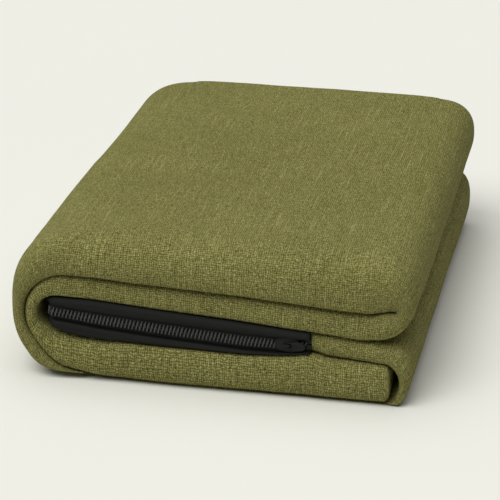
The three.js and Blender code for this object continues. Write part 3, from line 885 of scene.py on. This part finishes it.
POST_DEPTH, POST_HALF = 2, 0.3
POST_FROM, POST_TO = 2, 10
post_section = (
    (-POST_DEPTH, -POST_HALF),
    (POST_DEPTH, -POST_HALF),
    (POST_DEPTH, POST_HALF),
    (-POST_DEPTH, POST_HALF),
)
post_rings = [[(x, y, z) for y, z in post_section] for x in np.linspace(POST_FROM, POST_TO, 5)]
post = tube_mesh("slider_post", on_chain(post_rings))
lips = [side_lip(y, z) for y in (-1, 1) for z in (-1, 1)]
slider = join_objects("slider_body", [front_plate, rear_plate, bail(), post, *lips])

TAB_START = -0.6
TAB_END = PULL_LENGTH - 2  # shorter than the CAD's
EYE_WIDTH, TIP_WIDENING = 3.4, 1.5
WIDENING_ZONE = (2, 10)
TIP_BLUNT, EYE_BLUNT, SIDE_BLUNT = 0.95, 0.55, 0.75
SLOT_X, SLOT_HALF_LENGTH, SLOT_HALF_WIDTH = 2.9, 2.2, 2.1
SLOT_SQUARENESS = 0.4
SLOT_TURN = np.linspace(0, 2 * math.pi, 24, endpoint=False)


def tab_outline(inset):
    """The pull's outline: a tab with a narrow eye end and a rounded, wider tip."""
    half = (TAB_END - TAB_START) / 2
    cosine, sine = np.cos(OUTLINE_TURN), np.sin(OUTLINE_TURN)
    blunt = np.where(cosine > 0, TIP_BLUNT, EYE_BLUNT)
    x = (TAB_END + TAB_START) / 2 + signed_power(cosine, blunt) * (half - inset)
    width = EYE_WIDTH + TIP_WIDENING * smoothstep(x, *WIDENING_ZONE)
    return np.stack([x, signed_power(sine, SIDE_BLUNT) * (width - inset)], axis=1)


def slot_outline(inset):
    half_length, half_width = SLOT_HALF_LENGTH - inset, SLOT_HALF_WIDTH - inset
    x = SLOT_X + signed_power(np.cos(SLOT_TURN), SLOT_SQUARENESS) * half_length
    z = signed_power(np.sin(SLOT_TURN), SLOT_SQUARENESS) * half_width
    return np.stack([x, z], axis=1)


def pull_tab():
    """The pull with its slot, cut by a rounded block."""
    y0, y1 = HINGE_Y - PULL_THICK / 2, HINGE_Y + PULL_THICK / 2
    layers = [(y0, 0.45), (y0 + 0.2, 0.1), (HINGE_Y, 0.0), (y1 - 0.2, 0.1), (y1, 0.45)]
    tab = layered_plate("pull_tab", layers, tab_outline)
    cut_away(tab, layered_plate("pull_slot", [(y0 - 2, 0), (y1 + 2, 0)], slot_outline))
    return tab


pull = pull_tab()

# ---- materials ----------------------------------------------------------------------------------


class Nodes:
    """Short ways to add nodes to one material or world."""

    def __init__(self, owner):
        owner.use_nodes = True
        self.owner = owner
        self.tree = owner.node_tree
        self.shader = self.tree.nodes.get("Principled BSDF")

    def node(self, kind, **settings):
        made = self.tree.nodes.new(kind)
        for key, value in settings.items():
            setattr(made, key, value)
        return made

    def put(self, socket, value):
        if isinstance(value, bpy.types.NodeSocket):
            self.tree.links.new(value, socket)
        else:
            socket.default_value = value

    def math(self, operation, first, second=0.0, third=0.0):
        made = self.node("ShaderNodeMath", operation=operation)
        for socket, value in zip(made.inputs, (first, second, third)):
            self.put(socket, value)
        return made.outputs[0]

    def mix(self, share, first, second):
        made = self.node("ShaderNodeMix", data_type="RGBA")
        self.put(made.inputs["Factor"], share)
        self.put(made.inputs[6], first)
        self.put(made.inputs[7], second)
        return made.outputs[2]

    def noise(self, vector, scale, detail=2.0, roughness=0.5):
        made = self.node("ShaderNodeTexNoise")
        self.put(made.inputs["Vector"], vector)
        made.inputs["Scale"].default_value = scale
        made.inputs["Detail"].default_value = detail
        made.inputs["Roughness"].default_value = roughness
        return made.outputs["Fac"]

    def scaled(self, vector, x, y, z=1.0):
        made = self.node("ShaderNodeMapping")
        self.put(made.inputs["Vector"], vector)
        made.inputs["Scale"].default_value = (x, y, z)
        return made.outputs["Vector"]

    def cloth_map(self):
        return self.node("ShaderNodeUVMap", uv_map="cloth").outputs["UV"]

    def place(self):
        return self.node("ShaderNodeTexCoord").outputs["Object"]

    def bump(self, height, distance, strength=1.0):
        made = self.node("ShaderNodeBump")
        made.inputs["Strength"].default_value = strength
        made.inputs["Distance"].default_value = distance
        self.put(made.inputs["Height"], height)
        self.put(self.shader.inputs["Normal"], made.outputs["Normal"])

    def set(self, **values):
        for key, value in values.items():
            self.put(self.shader.inputs[key.replace("_", " ")], value)


YARN_WAVES = (330, 190)  # the yarns wander over this scale along and across them
YARN_SHADES = 170.0
OTHER_YARNS = 50.0  # keeps the weft's shades apart from the warp's


def woven(m, vector, warp_pitch, weft_pitch, wander):
    """A plain weave: its height, a shade that changes along each yarn, and one that differs from
    crossing to crossing. The pitches are in metres."""
    wave_u = m.math("SUBTRACT", m.noise(m.scaled(vector, *YARN_WAVES), 1.0), 0.5)
    wave_v = m.math("SUBTRACT", m.noise(m.scaled(vector, *YARN_WAVES[::-1]), 1.0), 0.5)
    apart = m.node("ShaderNodeSeparateXYZ")
    m.put(apart.inputs[0], vector)
    u = m.math("MULTIPLY_ADD", wave_u, wander, m.math("DIVIDE", apart.outputs[0], warp_pitch))
    v = m.math("MULTIPLY_ADD", wave_v, wander, m.math("DIVIDE", apart.outputs[1], weft_pitch))
    warp_index, weft_index = m.math("FLOOR", u), m.math("FLOOR", v)
    warp_round = m.math("ABSOLUTE", m.math("SINE", m.math("MULTIPLY", u, math.pi)))
    weft_round = m.math("ABSOLUTE", m.math("SINE", m.math("MULTIPLY", v, math.pi)))
    crossing = m.math("ADD", m.math("ADD", warp_index, weft_index), 0.5)
    over = m.math("SINE", m.math("MULTIPLY", crossing, math.pi))
    warp_crown = m.math("MULTIPLY_ADD", over, m.math("MULTIPLY", weft_round, 0.5), 0.5)
    weft_crown = m.math("MULTIPLY_ADD", over, m.math("MULTIPLY", warp_round, -0.5), 0.5)
    warp = m.math("MULTIPLY", warp_round, warp_crown)
    weft = m.math("MULTIPLY", weft_round, weft_crown)
    cell = m.node("ShaderNodeCombineXYZ")
    m.put(cell.inputs[0], warp_index)
    m.put(cell.inputs[1], weft_index)
    own = m.node("ShaderNodeTexWhiteNoise", noise_dimensions="2D")
    m.put(own.inputs["Vector"], cell.outputs[0])
    warp_shade = yarn_shade(m, warp_index, apart.outputs[1], 0.0)
    weft_shade = yarn_shade(m, weft_index, apart.outputs[0], OTHER_YARNS)
    which = m.math("GREATER_THAN", warp, weft)
    kept = m.math("SUBTRACT", 1.0, which)
    shade = m.math("MULTIPLY_ADD", warp_shade, which, m.math("MULTIPLY", weft_shade, kept))
    return m.math("MAXIMUM", warp, weft), shade, own.outputs["Value"]


def yarn_shade(m, index, place, offset):
    """A slow brightness change along each yarn, different from yarn to yarn."""
    joined = m.node("ShaderNodeCombineXYZ")
    m.put(joined.inputs[0], m.math("MULTIPLY_ADD", index, 3.7, offset))
    m.put(joined.inputs[1], m.math("MULTIPLY", place, YARN_SHADES))
    return m.noise(joined.outputs[0], 1.0, 1.0)


COVER_WEAVE = (0.0021, 0.0020, 2.3)  # both pitches and how far the yarns wander
CLOTH_RAMP = ((0.057, 0.053, 0.0160, 1), (0.194, 0.184, 0.056, 1), (0.375, 0.365, 0.152, 1))
SHEEN_TINT = (0.72, 0.68, 0.26, 1)
SLUB_LEAST, SLUB_GAIN = 0.56, 4.0  # only the streaks' crests show


def cover_cloth():
    m = Nodes(bpy.data.materials.new("cover_cloth"))
    cloth = m.cloth_map()
    height, shade, own = woven(m, cloth, *COVER_WEAVE)
    fibre = m.noise(m.scaled(cloth, 1100, 1100), 1.0, 2.0)
    clump = m.noise(m.scaled(cloth, 560, 560), 1.0, 2.0)
    broad = m.noise(m.place(), 9.0, 2.0)
    streak = m.noise(m.scaled(cloth, 400, 15), 1.0, 3.0)
    crest = m.math("MAXIMUM", m.math("SUBTRACT", streak, SLUB_LEAST), 0.0)
    slub = m.math("MULTIPLY", crest, SLUB_GAIN)
    # Each pattern lightens and darkens the cloth by its strength, around its offset. The weave's
    # height paints shade into the gaps between the yarns and highlights onto their crowns.
    light = m.math("MULTIPLY_ADD", shade, 0.20, -0.10)
    for pattern, strength, offset in (
        (own, 0.24, -0.12),
        # weave height: painted shade in the gaps between yarns, painted highlights on the yarn
        # crowns
        (height, 0.95, -0.52),
        (fibre, 0.60, -0.30),
        (clump, 0.06, -0.03),
        (slub, 0.38, -0.04),
        (broad, 0.16, -0.08),
    ):
        light = m.math("ADD", light, m.math("MULTIPLY_ADD", pattern, strength, offset))
    ramp = m.node("ShaderNodeValToRGB")
    ramp.color_ramp.elements.new(0.5)
    for element, colour in zip(ramp.color_ramp.elements, CLOTH_RAMP):
        element.color = colour
    m.put(ramp.inputs[0], m.math("ADD", light, 0.5))
    m.set(Base_Color=ramp.outputs[0], Roughness=0.92, Specular_IOR_Level=0.03)
    m.set(Sheen_Weight=0.07, Sheen_Roughness=0.45, Sheen_Tint=SHEEN_TINT)
    relief = height
    for pattern, strength in ((fibre, 0.3), (shade, 0.25), (own, 0.25), (slub, 0.5)):
        relief = m.math("MULTIPLY_ADD", pattern, strength, relief)
    m.bump(relief, 0.0007, 0.9)
    return m.owner


ZIP_WEAVE = (0.0009, 0.0009, 0.6)
FABRIC_DARK, FABRIC_LIGHT = (0.0025, 0.0027, 0.0022, 1), (0.0105, 0.011, 0.0095, 1)


def zip_fabric():
    m = Nodes(bpy.data.materials.new("zip_fabric"))
    height, *_ = woven(m, m.cloth_map(), *ZIP_WEAVE)
    broad = m.noise(m.place(), 40.0, 3.0)
    # The weave's height paints shade into the gaps between the yarns and highlights onto their
    # crowns; the broad noise is the fabric's own uneven tone.
    share = m.math("MULTIPLY_ADD", height, 0.6, m.math("MULTIPLY", broad, 0.4))
    colour = m.mix(share, FABRIC_DARK, FABRIC_LIGHT)
    m.set(Base_Color=colour, Roughness=0.7, Specular_IOR_Level=0.2)
    m.bump(m.math("MULTIPLY_ADD", broad, 0.5, height), 0.0002, 0.6)
    return m.owner


def plain(name, dark, light, roughness, metallic=0.0, specular=0.5):
    """A moulded, sheathed or metal surface with a fine grain and uneven gloss."""
    m = Nodes(bpy.data.materials.new(name))
    place = m.place()
    grain = m.noise(place, 900.0, 3.0)
    broad = m.noise(place, 60.0, 2.0)
    share = m.math("MULTIPLY_ADD", grain, 0.5, m.math("MULTIPLY", broad, 0.5))
    rough = m.math("MULTIPLY_ADD", broad, 0.24, roughness - 0.12)
    m.set(Base_Color=m.mix(share, (*dark, 1), (*light, 1)), Roughness=rough)
    m.set(Metallic=metallic, Specular_IOR_Level=specular)
    m.bump(grain, 0.00004, 0.5)
    return m.owner


# Dark and light colour, roughness and what else differs, for each plain material.
PLAIN = {
    "zip_coil": ((0.040, 0.040, 0.039), (0.078, 0.078, 0.075), 0.42),
    "zip_metal": ((0.006, 0.006, 0.0055), (0.012, 0.012, 0.0115), 0.6, 0.0, 0.2),
    "black_plastic": ((0.010, 0.010, 0.010), (0.020, 0.020, 0.020), 0.5),
    "lead_sheath": ((0.012, 0.012, 0.012), (0.022, 0.022, 0.022), 0.6),
    "brass": ((0.60, 0.42, 0.16), (0.75, 0.55, 0.24), 0.3, 1.0),
}
MATERIALS = {"cover_cloth": cover_cloth(), "zip_fabric": zip_fabric()}
MATERIALS |= {name: plain(name, *looks) for name, looks in PLAIN.items()}


def dress(obj, slot_name):
    obj.data.materials.clear()
    obj.data.materials.append(MATERIALS[slot_name])


# ---- joining the pieces to the frame ------------------------------------------------------------

dress(cover, "cover_cloth")
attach(cover, "blanket")
for ply in ("cover", "wadding", "foil", "wire_carrier", "heating_wire", "lining"):
    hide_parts(f"{ply}_a", f"{ply}_b")
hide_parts("edge_band_front", "edge_band_back", "edge_band_foot")

for piece, place in zip(facings, ("upper", "lower")):
    dress(piece, "zip_fabric")
    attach(piece, "blanket")
    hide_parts(f"zip_facing_front_{place}", f"zip_facing_back_{place}")

for piece, place in zip(tapes, ("upper", "lower")):
    dress(piece, "zip_fabric")
    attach(piece, "blanket")
    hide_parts(f"zip_tape_{place}")

for piece, place in zip(coils, ("upper", "lower")):
    dress(piece, "zip_coil")
    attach(piece, "blanket")
    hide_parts(f"zip_coil_{place}")

for piece, body in ((slider, "zip_slider"), (pull, "zip_pull")):
    dress(piece, "zip_metal")
    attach(piece, body)
    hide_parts(body)

# CAD nodes that stay.
CORNER_WIDTH = 0.0003
slots = {part["node"]: part["material_slot"] for part in frame["record"]["subparts"]}
for name, node in frame["nodes"].items():
    if node.hide_render:
        continue
    dress(node, slots[name])
    if name.startswith(("inlet", "zip_end_stop", "zip_start_stop")):
        soft_corner = node.modifiers.new("corner", "BEVEL")
        soft_corner.width = CORNER_WIDTH
        soft_corner.segments = 2

# ---- floor and light ----------------------------------------------------------------------------

FLOOR_SIZE = 30
FLOOR_DARK, FLOOR_LIGHT = (0.766, 0.766, 0.718, 1), (0.776, 0.776, 0.728, 1)
SKY_LOW, SKY_HIGH, SKY_FOCUS = 0.02, 2.02, 4.0
SKY_TOWARDS = Vector((-0.12, -0.06, 0.99))
SKY_COLOUR = (1.0, 1.0, 0.985, 1)
KEY_STRENGTH = 1.66
KEY_ANGLE = math.radians(40)
KEY_FROM = Vector((-0.25, -0.48, 0.84))
KEY_COLOUR = (1.0, 0.995, 0.97)

bpy.ops.mesh.primitive_plane_add(size=FLOOR_SIZE)
floor = bpy.context.object
floor.name = "floor"
floor_nodes = Nodes(bpy.data.materials.new("floor"))
speckle = floor_nodes.noise(floor_nodes.place(), 3.0, 2.0)
floor_nodes.set(
    Base_Color=floor_nodes.mix(speckle, FLOOR_DARK, FLOOR_LIGHT),
    Roughness=0.9,
    Specular_IOR_Level=0.1,
)
floor.data.materials.append(floor_nodes.owner)


def studio_world():
    """A soft sky, brightest overhead and a little to the left."""
    sky = Nodes(bpy.data.worlds.new("studio"))
    towards = sky.node("ShaderNodeVectorMath", operation="DOT_PRODUCT")
    sky.put(towards.inputs[0], sky.node("ShaderNodeTexCoord").outputs["Generated"])
    sky.put(towards.inputs[1], SKY_TOWARDS.normalized())
    above = sky.math("MAXIMUM", towards.outputs["Value"], 0.0)
    strength = sky.node("ShaderNodeMapRange")
    sky.put(strength.inputs["Value"], sky.math("POWER", above, SKY_FOCUS))
    sky.put(strength.inputs["To Min"], SKY_LOW)
    sky.put(strength.inputs["To Max"], SKY_HIGH)
    background = sky.tree.nodes["Background"]
    sky.put(background.inputs["Color"], SKY_COLOUR)
    sky.put(background.inputs["Strength"], strength.outputs["Result"])
    return sky.owner


bpy.context.scene.world = studio_world()

key = bpy.data.lights.new("key", "SUN")
key.energy = KEY_STRENGTH
key.angle = KEY_ANGLE
key.color = KEY_COLOUR
key_lamp = bpy.data.objects.new("key", key)
bpy.context.scene.collection.objects.link(key_lamp)
key_lamp.rotation_euler = KEY_FROM.to_track_quat("Z", "Y").to_euler()

bpy.context.scene.view_settings.view_transform = "Standard"
